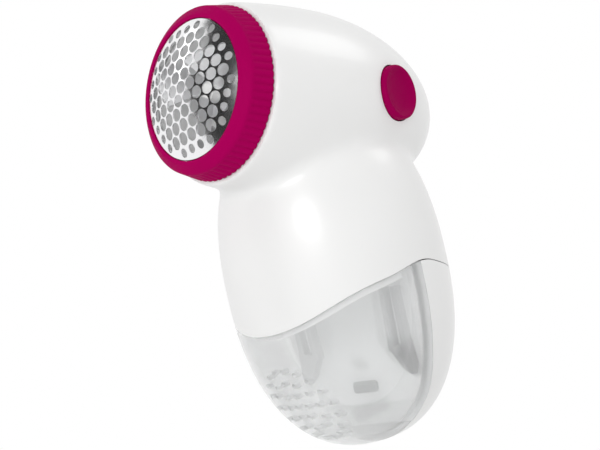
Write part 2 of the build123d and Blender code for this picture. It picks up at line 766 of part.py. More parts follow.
# Deck: floor of the upper housing, with a skirt that guides the container's rim.
SKIRT_THICK = 1.2
SKIRT_GAP = 0.4
SKIRT_DROP = 1.8
SKIRT_END = 4.0
deck_space = body_solid(WALL + 0.1)
deck_above = seam_zone(DECK_BOTTOM, True)
deck_over = seam_zone(DECK_TOP, True)
deck_front = split_zone(SPLIT_CLEAR, True)
skirt = body_solid(WALL + SKIRT_GAP) - body_solid(WALL + SKIRT_GAP + SKIRT_THICK)
skirt = skirt & seam_zone(SKIRT_DROP, True)
skirt = skirt & seam_zone(DECK_BOTTOM, False)
skirt = skirt & split_zone(-SEAM_GAP - REAR_WALL - SKIRT_END, True)
with BuildPart() as deck:
    add(deck_space)
    add(deck_above, mode=Mode.INTERSECT)
    add(deck_over, mode=Mode.SUBTRACT)
    add(deck_front, mode=Mode.INTERSECT)
    add(duct_space.part, mode=Mode.SUBTRACT)
    add(skirt)
save(deck.part, "deck")


# Lint container: frosted clear cup with a flat rear wall and vent holes.
lower_zone = seam_zone(SEAM_GAP, False)
container_front = split_zone(-SEAM_GAP, True)
wall_front = split_zone(-SEAM_GAP - REAR_WALL, True)
with BuildPart() as lint_container:
    add(outer_skin)
    add(inner_skin & wall_front, mode=Mode.SUBTRACT)
    add(lower_zone, mode=Mode.INTERSECT)
    add(container_front, mode=Mode.INTERSECT)
    with BuildSketch(handle_back.offset(-HANDLE_R - 5)):
        with Locations((0, VENT_W)):
            Circle(VENT_R)
            for radius, count in VENT_RINGS:
                with PolarLocations(radius, count):
                    Circle(VENT_R)
    extrude(amount=HANDLE_R, mode=Mode.SUBTRACT)
save(lint_container.part, "lint_container")


# Container catches: U-shaped spring catches standing on the container's rear wall.
catch_v = SPLIT_V - SEAM_GAP - REAR_WALL
with BuildPart() as container_catches:
    for side in (-1, 1):
        with BuildSketch(handle_back.offset(catch_v)):
            for top_x, low_x in ((18.6, 17.2), (23.6, 23.2)):
                with BuildLine():
                    Polyline(
                        (-side * (top_x - 1), -6.0),
                        (-side * (top_x + 1), -6.0),
                        (-side * (low_x + 1.2), -25.0),
                        (-side * (low_x - 1.2), -25.0),
                        close=True,
                    )
                make_face()
            with BuildLine():
                Polyline(
                    (-side * 16.2, -24.2),
                    (-side * 24.6, -22.4),
                    (-side * 25.2, -30.0),
                    (-side * 23.6, -32.6),
                    (-side * 20.6, -30.6),
                    close=True,
                )
            make_face()
        extrude(amount=-2.4)
save(container_catches.part, "container_catches")


# Rest pad: rubber pad on the container's rear wall.
PAD_THICK = 0.8
pad_front = split_zone(-SEAM_GAP - REAR_WALL - PAD_THICK, True)
with BuildPart() as rest_pad:
    with BuildSketch(handle_back.offset(-10)):
        with Locations((0, PAD_W)):
            RectangleRounded(*PAD_SIZE, 1.2)
    extrude(amount=20)
    add(wall_front, mode=Mode.INTERSECT)
    add(pad_front, mode=Mode.SUBTRACT)
save(rest_pad.part, "rest_pad")


# Battery door: white shell of the lower rear, with a tongue behind the housing's edge.
TONGUE_X = 10.0
TONGUE_THICK = 1.2
TONGUE_RISE = 3.0
tongue_face = body_solid(WALL + CLEAR)
tongue_back = body_solid(WALL + CLEAR + TONGUE_THICK)
door_behind = split_zone(SEAM_GAP, False)
with BuildPart() as tongue:
    with BuildSketch(Plane.XY.offset(SEAM_TOP[1] + TONGUE_RISE)):
        with Locations((0, HANDLE_Y + HANDLE_R)):
            Rectangle(2 * TONGUE_X, 2 * (HANDLE_R - 12))
    extrude(amount=-TONGUE_RISE - 6)
    add(inner_skin, mode=Mode.INTERSECT)
    add(tongue_back, mode=Mode.SUBTRACT)
tongue_rim = (inner_skin - tongue_face) - lower_zone
tongue_body = tongue.part - tongue_rim
with BuildPart() as battery_door:
    add(outer_skin)
    add(inner_skin, mode=Mode.SUBTRACT)
    add(lower_zone, mode=Mode.INTERSECT)
    add(door_behind, mode=Mode.INTERSECT)
    add(tongue_body)
save(battery_door.part, "battery_door")


def handle_box(x, v, w):
    """Block in the handle's frame, each range given as (from, to)."""
    with BuildPart() as block:
        with BuildSketch(handle_up.offset(w[0])):
            with Locations(((x[0] + x[1]) / 2, (v[0] + v[1]) / 2)):
                Rectangle(x[1] - x[0], v[1] - v[0])
        extrude(amount=w[1] - w[0])
    return block.part


# Cells: one stands nub up, the other nub down, each pressed by a spring at its flat end.
low_plate = TRAY_LOW_W + PLATE_THICK
up_cell = low_plate + SPRING_LENGTH
down_cell = low_plate + DIMPLE + CELL_NUB
tray_high_w = up_cell + CELL_BODY + CELL_NUB + DIMPLE + PLATE_THICK
high_plate = tray_high_w - PLATE_THICK
with BuildPart() as battery_cells:
    with BuildSketch(handle_up.offset(up_cell)):
        with Locations((CELL_PITCH / 2, CELL_V)):
            Circle(CELL_R)
    extrude(amount=CELL_BODY)
    with BuildSketch(handle_up.offset(down_cell)):
        with Locations((-CELL_PITCH / 2, CELL_V)):
            Circle(CELL_R)
    extrude(amount=CELL_BODY)
    fillet(battery_cells.edges().filter_by(GeomType.CIRCLE), 0.5)
    with BuildSketch(handle_up.offset(up_cell + CELL_BODY)):
        with Locations((CELL_PITCH / 2, CELL_V)):
            Circle(CELL_NUB_R)
    extrude(amount=CELL_NUB)
    with BuildSketch(handle_up.offset(down_cell)):
        with Locations((-CELL_PITCH / 2, CELL_V)):
            Circle(CELL_NUB_R)
    extrude(amount=-CELL_NUB)
save(battery_cells.part, "battery_cells")


# Battery tray: open-backed frame screwed to the housing, closing the handle's front.
TRAY_FRONT_V = SPLIT_V + SPLIT_CLEAR
tray_floor_v = TRAY_FRONT_V + TRAY_WALL
tray_inner_x = CELL_PITCH / 2 + CELL_R + 0.35
tray_outer_x = tray_inner_x + TRAY_WALL
TAB_X = 11.0
TAB_V = 7.2
tray_space = body_solid(WALL + CLEAR)
tray_walls = [
    ((-HANDLE_R, HANDLE_R), (TRAY_FRONT_V, tray_floor_v), (-HANDLE_HALF + 12, tray_high_w + 3)),
    ((-tray_outer_x, tray_outer_x), (tray_floor_v, 20), (tray_high_w, tray_high_w + TRAY_WALL)),
    ((-tray_outer_x, tray_outer_x), (tray_floor_v, 20), (TRAY_LOW_W - TRAY_WALL, TRAY_LOW_W)),
    ((tray_inner_x, tray_outer_x), (tray_floor_v, 17.5), (TRAY_LOW_W, tray_high_w)),
    ((-tray_outer_x, -tray_inner_x), (tray_floor_v, 17.5), (TRAY_LOW_W, tray_high_w)),
    ((-1, 1), (tray_floor_v, 9), (TRAY_LOW_W, tray_high_w)),
    ((tray_inner_x, TRAY_SCREW[0] + SCREW_BOSS_R), (TRAY_SCREW[1] - 3, TRAY_SCREW[1] + 3), EAR_W),
    ((-TRAY_SCREW[0] - SCREW_BOSS_R, -tray_inner_x), (TRAY_SCREW[1] - 3, TRAY_SCREW[1] + 3), EAR_W),
]
wall_blocks = [handle_box(*wall) for wall in tray_walls]
with BuildPart() as battery_tray:
    add(wall_blocks)
    add(tray_space, mode=Mode.INTERSECT)
    with BuildSketch(handle_up.offset(EAR_W[0])):
        with Locations((-TRAY_SCREW[0], TRAY_SCREW[1]), (TRAY_SCREW[0], TRAY_SCREW[1])):
            Circle(SCREW_R)
    extrude(amount=EAR_W[1] - EAR_W[0], mode=Mode.SUBTRACT)
    with BuildSketch(handle_up.offset(tray_high_w)):
        with Locations((-TAB_X, TAB_V), (TAB_X, TAB_V)):
            Rectangle(3, 1)
    extrude(amount=TRAY_WALL, mode=Mode.SUBTRACT)
save(battery_tray.part, "battery_tray")


# Tray screws, driven upwards into the housing's bosses.
tray_screw_set = []
for side in (-1, 1):
    place = in_handle(side * TRAY_SCREW[0], TRAY_SCREW[1], EAR_W[0])
    head_plane = Plane(origin=place, x_dir=(1, 0, 0), z_dir=-handle_up.z_dir)
    tray_screw_set.append(pan_screw(EAR_W[1] - EAR_W[0] + TRAY_SCREW_GRIP, head_plane))
with BuildPart() as tray_screws:
    add(tray_screw_set)
save(tray_screws.part, "tray_screws")


# Contacts: a bridging plate below, two plates with solder tabs above.
with BuildPart() as bottom_contact:
    with BuildSketch(handle_up.offset(TRAY_LOW_W)):
        with Locations((0, (tray_floor_v + 20) / 2 + 0.5)):
            RectangleRounded(2 * tray_inner_x - 0.6, 20 - tray_floor_v - 1.6, 1)
        with Locations((0, tray_floor_v)):
            Rectangle(2.6, 6.6, mode=Mode.SUBTRACT)
    extrude(amount=PLATE_THICK)
    with BuildSketch(handle_up.offset(low_plate)):
        with Locations((-CELL_PITCH / 2, CELL_V)):
            Circle(2)
    extrude(amount=DIMPLE, taper=25)
    add(tray_space, mode=Mode.INTERSECT)
save(bottom_contact.part, "bottom_contact")

with BuildPart() as top_contacts:
    with BuildSketch(handle_up.offset(high_plate)):
        for side in (-1, 1):
            with Locations((side * (tray_inner_x + 0.7) / 2, CELL_V)):
                RectangleRounded(tray_inner_x - 1.3, 11.5, 1)
    extrude(amount=PLATE_THICK)
    with BuildSketch(handle_up.offset(high_plate)):
        with Locations((CELL_PITCH / 2, CELL_V)):
            Circle(2)
    extrude(amount=-DIMPLE, taper=25)
    with BuildSketch(handle_up.offset(high_plate)):
        for side in (-1, 1):
            with Locations((side * TAB_X, TAB_V + 0.6)):
                Rectangle(2.4, 1.6)
    extrude(amount=PLATE_THICK)
    with BuildSketch(handle_up.offset(high_plate)):
        for side in (-1, 1):
            with Locations((side * TAB_X, TAB_V)):
                Rectangle(2.4, PLATE_THICK)
    extrude(amount=4.6)
save(top_contacts.part, "top_contacts")


def coil(base, length, radius, wire_r, turns):
    """Round-wire spring standing on a plane, a hair clear of both ends."""
    rise = length - 2 * wire_r - 0.06
    with BuildPart() as spring:
        with BuildLine(base.offset(wire_r + 0.03)) as path:
            Helix(pitch=rise / turns, height=rise, radius=radius, direction=base.z_dir)
        start = path.line @ 0
        with BuildSketch(Plane(origin=start, z_dir=path.line % 0)):
            Circle(wire_r)
        sweep(path=path.line, is_frenet=True)
    return spring.part


low_spring_at = Plane(
    origin=in_handle(CELL_PITCH / 2, CELL_V, low_plate),
    x_dir=(1, 0, 0),
    z_dir=handle_up.z_dir,
)
high_spring_w = down_cell + CELL_BODY
high_spring_at = Plane(
    origin=in_handle(-CELL_PITCH / 2, CELL_V, high_spring_w),
    x_dir=(1, 0, 0),
    z_dir=handle_up.z_dir,
)
cell_springs = [
    coil(low_spring_at, SPRING_LENGTH, 3.4, 0.35, 3.5),
    coil(high_spring_at, high_plate - high_spring_w, 3.4, 0.35, 3.5),
]
with BuildPart() as contact_springs:
    add(cell_springs)
save(contact_springs.part, "contact_springs")


# Power button: dished cap with a flange that stops behind the collar.
button_side = Plane(origin=button_point, x_dir=button_plane.x_dir, z_dir=-button_plane.y_dir)
button_axis = Axis(origin=button_point, direction=button_normal)
DISH_DEPTH = 1.3
CAP_UNDER = 2.2
CAP_POST = 3.0
FLANGE_TOP = COLLAR_DEPTH + CLEAR
FLANGE_LOW = FLANGE_TOP + 1.2
with BuildPart() as power_button:
    with BuildSketch(button_side):
        with BuildLine():
            Polyline(
                (BUTTON_R - 0.9, BUTTON_PROUD),
                (BUTTON_R, BUTTON_PROUD),
                (BUTTON_R, -FLANGE_TOP),
                (BUTTON_FLANGE_R, -FLANGE_TOP),
                (BUTTON_FLANGE_R, -FLANGE_LOW),
                (BUTTON_R - 1.5, -FLANGE_LOW),
                (BUTTON_R - 1.5, -CAP_UNDER),
                (1.7, -CAP_UNDER),
                (1.7, -CAP_POST),
                (0, -CAP_POST),
                (0, BUTTON_PROUD - DISH_DEPTH),
            )
            ThreePointArc(
                (0, BUTTON_PROUD - DISH_DEPTH),
                ((BUTTON_R - 0.9) / 2, BUTTON_PROUD - DISH_DEPTH * 0.75),
                (BUTTON_R - 0.9, BUTTON_PROUD),
            )
        make_face()
    revolve(axis=button_axis)
    fillet(power_button.edges().filter_by(GeomType.CIRCLE).sort_by(button_axis)[-2:], 0.4)
save(power_button.part, "power_button")


# Switch: body with a flange in front of the carrier's floor, plunger and two solder tabs.
SWITCH_TOP = 6.9
SWITCH_FLANGE = 8.8
SWITCH_SIDE = 8.0
SWITCH_BACK = 15.0
FLOOR_FRONT = 7.7
FLOOR_BACK = 9.2
PLUNGER_R = 1.7
PLUNGER_END = 9.5
TERMINAL_OFF = 2.2
TERMINAL_TIP = 17.5
with BuildPart() as switch_body:
    with BuildSketch(button_plane.offset(-SWITCH_TOP)):
        RectangleRounded(SWITCH_FLANGE, SWITCH_FLANGE, 0.8)
    extrude(amount=SWITCH_TOP - FLOOR_FRONT)
    with BuildSketch(button_plane.offset(-FLOOR_FRONT)):
        Rectangle(SWITCH_SIDE, SWITCH_SIDE)
    extrude(amount=FLOOR_FRONT - SWITCH_BACK)
    with BuildSketch(button_plane.offset(-SWITCH_TOP)):
        Circle(PLUNGER_R + SHAFT_FIT)
    extrude(amount=SWITCH_TOP - PLUNGER_END - 2.5, mode=Mode.SUBTRACT)
save(switch_body.part, "switch_body")

with BuildPart() as switch_plunger:
    with BuildSketch(button_plane.offset(-CAP_POST)):
        Circle(PLUNGER_R)
    extrude(amount=CAP_POST - PLUNGER_END)
save(switch_plunger.part, "switch_plunger")

with BuildPart() as switch_terminals:
    with BuildSketch(button_plane.offset(-SWITCH_BACK)):
        with Locations((-TERMINAL_OFF, 0), (TERMINAL_OFF, 0)):
            Rectangle(0.5, 1.8)
    extrude(amount=SWITCH_BACK - TERMINAL_TIP)
save(switch_terminals.part, "switch_terminals")


# Button spring, between the cap and the switch's flange.
spring_base = button_plane.offset(-SWITCH_TOP)
button_coil = coil(spring_base, SWITCH_TOP - CAP_UNDER, 3.2, 0.25, 4)
with BuildPart() as button_spring:
    add(button_coil)
save(button_spring.part, "button_spring")


# Switch carrier: shallow cup behind the collar with two screwed ears.
CUP_INNER_R = BUTTON_FLANGE_R + 0.35
EAR_BACK = 7.6
with BuildPart() as switch_carrier:
    with BuildSketch(button_plane.offset(-COLLAR_DEPTH)):
        Circle(COLLAR_R)
        Circle(CUP_INNER_R, mode=Mode.SUBTRACT)
    extrude(amount=COLLAR_DEPTH - FLOOR_BACK)
    with BuildSketch(button_plane.offset(-FLOOR_FRONT)):
        Circle(COLLAR_R)
        Rectangle(SWITCH_SIDE + 0.2, SWITCH_SIDE + 0.2, mode=Mode.SUBTRACT)
    extrude(amount=FLOOR_FRONT - FLOOR_BACK)
    with BuildSketch(button_plane.offset(-EAR_FRONT)):
        SlotCenterToCenter(2 * CARRIER_SCREW, 2 * SCREW_BOSS_R, rotation=90)
        Circle((CUP_INNER_R + COLLAR_R) / 2, mode=Mode.SUBTRACT)
        with Locations((0, -CARRIER_SCREW), (0, CARRIER_SCREW)):
            Circle(SCREW_R, mode=Mode.SUBTRACT)
    extrude(amount=EAR_FRONT - EAR_BACK)
    add(tray_space, mode=Mode.INTERSECT)
save(switch_carrier.part, "switch_carrier")

carrier_screw_set = []
for side in (-1, 1):
    place = button_plane.from_local_coords((0, side * CARRIER_SCREW, -EAR_BACK))
    head_plane = Plane(origin=place, x_dir=(0, 0, 1), z_dir=-button_normal)
    carrier_screw_set.append(pan_screw(EAR_BACK - EAR_FRONT + CARRIER_GRIP, head_plane))
with BuildPart() as carrier_screws:
    add(carrier_screw_set)
save(carrier_screws.part, "carrier_screws")


# Wires.
tab_top = high_plate + 4.6
up_handle = handle_up.z_dir
switch_tip_a = button_plane.from_local_coords((TERMINAL_OFF, 0, -TERMINAL_TIP))
switch_tip_b = button_plane.from_local_coords((-TERMINAL_OFF, 0, -TERMINAL_TIP))
motor_switch_wire = wire(
    [(terminal_x, terminal_tip, 0), switch_tip_a],
    (0, 1, 0),
    button_normal,
)
save(motor_switch_wire, "motor_switch_wire")
plus_tab = in_handle(TAB_X, TAB_V, tab_top)
switch_cell_wire = wire(
    [switch_tip_b, (8.0, plus_tab[1] - 1, -9), plus_tab],
    -button_normal,
    -up_handle,
)
save(switch_cell_wire, "switch_cell_wire")
minus_tab = in_handle(-TAB_X, TAB_V, tab_top)
cell_motor_wire = wire(
    [minus_tab, (-9.8, minus_tab[1], -8.5), (-terminal_x, terminal_tip, 0)],
    up_handle,
    (0, -1, 0),
)
save(cell_motor_wire, "cell_motor_wire")
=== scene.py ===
import math

import bpy
from mathutils import Matrix, Vector


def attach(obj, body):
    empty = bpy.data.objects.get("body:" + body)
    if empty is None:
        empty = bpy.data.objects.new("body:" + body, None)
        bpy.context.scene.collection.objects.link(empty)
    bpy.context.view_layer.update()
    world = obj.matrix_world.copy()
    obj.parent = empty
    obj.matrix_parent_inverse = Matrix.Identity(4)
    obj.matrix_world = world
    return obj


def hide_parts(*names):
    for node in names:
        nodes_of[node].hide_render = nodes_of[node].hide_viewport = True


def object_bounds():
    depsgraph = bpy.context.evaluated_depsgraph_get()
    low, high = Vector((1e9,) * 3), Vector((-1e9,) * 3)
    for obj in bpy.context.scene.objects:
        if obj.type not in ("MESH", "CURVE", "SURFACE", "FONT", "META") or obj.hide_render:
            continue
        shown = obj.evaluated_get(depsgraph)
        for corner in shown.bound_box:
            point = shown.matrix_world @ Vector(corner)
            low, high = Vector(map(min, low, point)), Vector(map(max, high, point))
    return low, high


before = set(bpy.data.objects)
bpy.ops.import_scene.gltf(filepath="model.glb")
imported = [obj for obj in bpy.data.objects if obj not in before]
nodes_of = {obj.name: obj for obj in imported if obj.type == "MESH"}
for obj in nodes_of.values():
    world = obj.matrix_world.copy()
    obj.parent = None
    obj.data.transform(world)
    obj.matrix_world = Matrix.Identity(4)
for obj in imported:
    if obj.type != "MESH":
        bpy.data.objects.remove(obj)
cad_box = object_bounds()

# Camera: a long lens a metre from the shaver, on the foil side and a little below it, so
# the underside of the head shows. No cord leaves this shaver, it runs on its own cells.
seen_right = Vector((0.6421, 0.7665, 0.0150))
seen_up = Vector((0.1039, -0.1064, 0.9889))
seen_from = seen_right.cross(seen_up).normalized()
seen_up = seen_from.cross(seen_right).normalized()
seen_right = seen_up.cross(seen_from)
aim = Vector((0.0160, 0.0282, -0.0385))
film_width = 36
field_at_one_metre = 0.174
bpy.ops.object.camera_add(location=aim + seen_from)
camera = bpy.context.object
camera.rotation_mode = "QUATERNION"
seen_frame = Matrix((seen_right, seen_up, seen_from)).transposed()
camera.rotation_quaternion = seen_frame.to_quaternion()
camera.data.sensor_width = film_width
camera.data.lens = film_width / field_at_one_metre
camera.data.clip_start = 0.05
camera.data.clip_end = 20
bpy.context.scene.camera = camera
bpy.context.scene.view_settings.view_transform = "Standard"


# Studio: a pale floor two inches or so under the shaver, which hangs free above it, so
# that the container and the door have room to slide off downwards. It catches the soft
# shadow, and a camera that stands below it looks through its underside.
slide_room = 0.061
floor_width = 30
floor_height = cad_box[0].z - slide_room
bpy.ops.object.select_all(action="DESELECT")
bpy.ops.mesh.primitive_plane_add(size=floor_width, location=(0, 0, floor_height))
floor = bpy.context.object
floor.name = "studio_floor"
floor_paint = bpy.data.materials.new("studio_floor_paint")
floor_paint.use_nodes = True
tree = floor_paint.node_tree
tree.nodes.clear()
paint = tree.nodes.new("ShaderNodeBsdfDiffuse")
paint.inputs["Color"].default_value = (0.92, 0.92, 0.92, 1)
clear = tree.nodes.new("ShaderNodeBsdfTransparent")
side = tree.nodes.new("ShaderNodeNewGeometry")
choose = tree.nodes.new("ShaderNodeMixShader")
floor_out = tree.nodes.new("ShaderNodeOutputMaterial")
tree.links.new(side.outputs["Backfacing"], choose.inputs[0])
tree.links.new(paint.outputs[0], choose.inputs[1])
tree.links.new(clear.outputs[0], choose.inputs[2])
tree.links.new(choose.outputs[0], floor_out.inputs["Surface"])
floor.data.materials.append(floor_paint)
floor.visible_glossy = False


# Dark flag: a black card that only shows in shiny metal, as a studio uses to give a
# bright steel foil its contrast.
def tune(material, settings):
    """Sets plain values on a material's main shader."""
    for socket, value in settings.items():
        material.node_tree.nodes["Principled BSDF"].inputs[socket].default_value = value


upright = (math.radians(90), 0, 0)
flag_ahead = 0.9
flag_corners = ((-0.40, -0.60), (-0.03, -0.60), (-1.60, 1.35), (-0.03, 1.35))
bpy.ops.object.select_all(action="DESELECT")
bpy.ops.mesh.primitive_plane_add(size=1, location=(0, -flag_ahead, 0), rotation=upright)
flag = bpy.context.object
flag.name = "studio_flag"
for corner, place in zip(flag.data.vertices, flag_corners):
    corner.co.x, corner.co.y = place
flag_cloth = bpy.data.materials.new("studio_flag_cloth")
flag_cloth.use_nodes = True
tune(flag_cloth, {"Base Color": (0.02, 0.02, 0.02, 1), "Roughness": 1})
flag.data.materials.append(flag_cloth)
flag.visible_camera = False
flag.visible_diffuse = False
flag.visible_transmission = False
flag.visible_shadow = False


# World: an even pale room, plain white where a camera, metal or clear plastic looks at it.
# It lights the shaver a little less than it shows.
lighting_strength = 0.70
seen_strength = 1.0
world = bpy.data.worlds.new("studio_room")
bpy.context.scene.world = world
world.use_nodes = True
tree = world.node_tree
tree.nodes.clear()
path = tree.nodes.new("ShaderNodeLightPath")
seen = tree.nodes.new("ShaderNodeMath")
seen.operation = "MAXIMUM"
clear_seen = tree.nodes.new("ShaderNodeMath")
clear_seen.operation = "MAXIMUM"
strength = tree.nodes.new("ShaderNodeMapRange")
strength.inputs["To Min"].default_value = lighting_strength
strength.inputs["To Max"].default_value = seen_strength
room = tree.nodes.new("ShaderNodeBackground")
room_out = tree.nodes.new("ShaderNodeOutputWorld")
room.inputs["Color"].default_value = (1, 1, 1, 1)
tree.links.new(path.outputs["Is Camera Ray"], seen.inputs[0])
tree.links.new(path.outputs["Is Glossy Ray"], seen.inputs[1])
tree.links.new(seen.outputs[0], clear_seen.inputs[0])
tree.links.new(path.outputs["Is Transmission Ray"], clear_seen.inputs[1])
tree.links.new(clear_seen.outputs[0], strength.inputs["Value"])
tree.links.new(strength.outputs["Result"], room.inputs["Strength"])
tree.links.new(room.outputs[0], room_out.inputs["Surface"])


# Lamps: a broad soft box on the foil side, one above and behind, a weak fill on the left.
# All three are round and look at the middle of the shaver.
lit_point = Vector((0, 0.04, -0.04))


def soft_box(name, place, size, power):
    """A round area lamp of this size in metres and power in watts."""
    bpy.ops.object.light_add(type="AREA", location=place)
    lamp = bpy.context.object
    lamp.name = name
    lamp.data.shape = "DISK"
    lamp.data.size = size
    lamp.data.energy = power
    lamp.rotation_mode = "QUATERNION"
    lamp.rotation_quaternion = (lit_point - Vector(place)).to_track_quat("-Z", "Y")


soft_box("key_box", (0.58, -1.0, -0.04), 0.6, 6.0)
soft_box("top_box", (0.35, 0.70, 0.95), 0.6, 2.4)
soft_box("left_box", (-0.8, -0.6, 0.5), 0.5, 0.6)


# Outer shells: the head and handle are one flowing skin of white ABS, parted along the
# seam into the upper housing, the frosted lint container and the white battery door.
# Each is a 2 mm injection moulding with a soft crease where head and handle meet.
MM = 0.001
HEAD_R = 28.9
HEAD_FRONT = 9.8
HEAD_WIDEST = 36.9
HEAD_NOSE = 75.0
HEAD_TAIL = 49.6
HANDLE_R = 33.25
HANDLE_HALF = 51.4
HANDLE_POWER = 2.32
HANDLE_LEAN = math.radians(18.4)
HANDLE_AT = Vector((0, 55.95, -48.5))
WALL = 2.0
PARTING = 0.13
VOXEL = 0.9
CREASE_TIGHT = 3.0
CREASE_WIDER = 5.0
CREASE_TIGHT_Y = 75
CREASE_RUN = 45
FOIL_EDGE_KEPT = 1.2


def only(*objs):
    """Selects these objects alone, the first one active."""
    if bpy.context.object and bpy.context.object.mode != "OBJECT":
        bpy.ops.object.mode_set(mode="OBJECT")
    bpy.ops.object.select_all(action="DESELECT")
    for obj in objs:
        obj.select_set(True)
    bpy.context.view_layer.objects.active = objs[0]


def apply_modifier(obj, kind, **settings):
    """Adds a modifier with these settings and applies it."""
    only(obj)
    modifier = obj.modifiers.new(kind.lower(), kind)
    for key, value in settings.items():
        setattr(modifier, key, value)
    bpy.ops.object.modifier_apply(modifier=modifier.name)


def settle(obj):
    """Puts the object's place, turn and scale into its mesh."""
    only(obj)
    bpy.ops.object.transform_apply(location=True, rotation=True, scale=True)


def twin(obj, name):
    """A copy of an object with its own mesh."""
    only(obj)
    bpy.ops.object.duplicate()
    made = bpy.context.object
    made.name = name
    return made


def carve(obj, tool, operation="DIFFERENCE"):
    """Cuts, joins or trims a piece with a tool, and leaves the tool standing."""
    apply_modifier(obj, "BOOLEAN", operation=operation, object=tool, solver="MANIFOLD")


def drop(*objs):
    """Removes tools that have done their work."""
    for obj in objs:
        bpy.data.objects.remove(obj, do_unlink=True)


def trim(obj, tool, operation="DIFFERENCE"):
    """Carves a piece with a tool and puts the tool away."""
    carve(obj, tool, operation)
    drop(tool)


def smooth(obj, degrees=32):
    """Smooth shading with crisp corners."""
    only(obj)
    bpy.ops.object.shade_smooth_by_angle(angle=math.radians(degrees))


def moulded(name, colour, roughness, grain=0.00025, depth=0.004, mottle=0.02, coat=0.0):
    """Moulded plastic: faint flow mottling, a fine orange-peel grain and uneven gloss."""
    made = bpy.data.materials.new(name)
    made.use_nodes = True
    nodes, links = made.node_tree.nodes, made.node_tree.links
    shader = nodes["Principled BSDF"]
    place = nodes.new("ShaderNodeTexCoord")
    flow = nodes.new("ShaderNodeTexNoise")
    flow.inputs["Scale"].default_value = 28
    flow.inputs["Detail"].default_value = 5
    flow.inputs["Distortion"].default_value = 0.6
    tint = nodes.new("ShaderNodeValToRGB")
    tint.color_ramp.elements[0].position = 0.3
    tint.color_ramp.elements[1].position = 0.7
    tint.color_ramp.elements[0].color = (*[c * (1 - mottle) for c in colour], 1)
    tint.color_ramp.elements[1].color = (*[min(1, c * (1 + mottle)) for c in colour], 1)
    gloss = nodes.new("ShaderNodeMapRange")
    gloss.inputs["To Min"].default_value = roughness * 0.88
    gloss.inputs["To Max"].default_value = roughness * 1.12
    peel = nodes.new("ShaderNodeTexNoise")
    peel.inputs["Scale"].default_value = 1 / (4 * grain)
    peel.inputs["Detail"].default_value = 3
    bump = nodes.new("ShaderNodeBump")
    bump.inputs["Strength"].default_value = 0.25
    bump.inputs["Distance"].default_value = depth * MM
    links.new(place.outputs["Object"], flow.inputs["Vector"])
    links.new(place.outputs["Object"], peel.inputs["Vector"])
    links.new(flow.outputs["Fac"], tint.inputs["Fac"])
    links.new(tint.outputs["Color"], shader.inputs["Base Color"])
    links.new(peel.outputs["Fac"], gloss.inputs["Value"])
    links.new(gloss.outputs["Result"], shader.inputs["Roughness"])
    links.new(peel.outputs["Fac"], bump.inputs["Height"])
    links.new(bump.outputs["Normal"], shader.inputs["Normal"])
    shader.inputs["IOR"].default_value = 1.52
    shader.inputs["Coat Weight"].default_value = coat
    shader.inputs["Coat Roughness"].default_value = 0.12
    return made


def dress(piece, material):
    """Gives a piece one material all over."""
    piece.data.materials.clear()
    piece.data.materials.append(material)
    for face in piece.data.polygons:
        face.material_index = 0


# The head: a ball drawn out to the rear and, more, to the front, cut flat for the foil.
bpy.ops.object.select_all(action="DESELECT")
bpy.ops.mesh.primitive_uv_sphere_add(
    segments=128, ring_count=64, radius=HEAD_R * MM, rotation=upright
)
skin = bpy.context.object
skin.name = "skin"
settle(skin)
for point in skin.data.vertices:
    reach = HEAD_TAIL if point.co.y > 0 else HEAD_NOSE
    point.co.y = point.co.y * reach / HEAD_R + HEAD_WIDEST * MM
bpy.ops.object.mode_set(mode="EDIT")
bpy.ops.mesh.select_all(action="SELECT")
bpy.ops.mesh.bisect(
    plane_co=(0, HEAD_FRONT * MM, 0), plane_no=(0, 1, 0), clear_inner=True, use_fill=True
)
bpy.ops.object.mode_set(mode="OBJECT")

# The handle: an egg with slightly squared shoulders, leaning back.
bpy.ops.object.select_all(action="DESELECT")
bpy.ops.mesh.primitive_uv_sphere_add(segments=128, ring_count=96, radius=1)
handle = bpy.context.object
for point in handle.data.vertices:
    across = math.hypot(point.co.x, point.co.y)
    fuller = across ** (2 / HANDLE_POWER - 1) if across > 1e-6 else 0
    up = math.copysign(abs(point.co.z) ** (2 / HANDLE_POWER), point.co.z)
    point.co.x *= fuller * HANDLE_R * MM
    point.co.y *= fuller * HANDLE_R * MM
    point.co.z = up * HANDLE_HALF * MM
handle.rotation_euler = (HANDLE_LEAN, 0, 0)
handle.location = HANDLE_AT * MM
settle(handle)
trim(skin, handle, "UNION")
apply_modifier(skin, "REMESH", mode="VOXEL", voxel_size=VOXEL * MM)

# The crease where head and handle meet, wide and soft at the front and tight at the rear.
crease = skin.vertex_groups.new(name="crease")
for point in skin.data.vertices:
    p = point.co / MM
    behind = p.y - HEAD_WIDEST
    length = HEAD_TAIL if behind > 0 else HEAD_NOSE
    size = math.sqrt((p.x ** 2 + p.z ** 2) / HEAD_R ** 2 + (behind / length) ** 2)
    from_head = (size - 1) * HEAD_R
    q = p - HANDLE_AT
    along = q.z * math.cos(HANDLE_LEAN) - q.y * math.sin(HANDLE_LEAN)
    rearward = q.y * math.cos(HANDLE_LEAN) + q.z * math.sin(HANDLE_LEAN)
    out = math.hypot(q.x, rearward) / HANDLE_R
    up = abs(along) / HANDLE_HALF
    size = (out ** HANDLE_POWER + up ** HANDLE_POWER) ** (1 / HANDLE_POWER)
    from_handle = (size - 1) * HANDLE_R
    ahead = min(1, max(0, (CREASE_TIGHT_Y - p.y) / CREASE_RUN))
    softness = CREASE_TIGHT + CREASE_WIDER * ahead
    weight = 1 - max(from_head, from_handle) / softness
    if weight > 0 and p.y > HEAD_FRONT + FOIL_EDGE_KEPT:
        crease.add([point.index], weight, "REPLACE")
apply_modifier(skin, "SMOOTH", factor=0.6, iterations=60, vertex_group="crease")
apply_modifier(skin, "SMOOTH", factor=0.5, iterations=3)
skin.vertex_groups.clear()

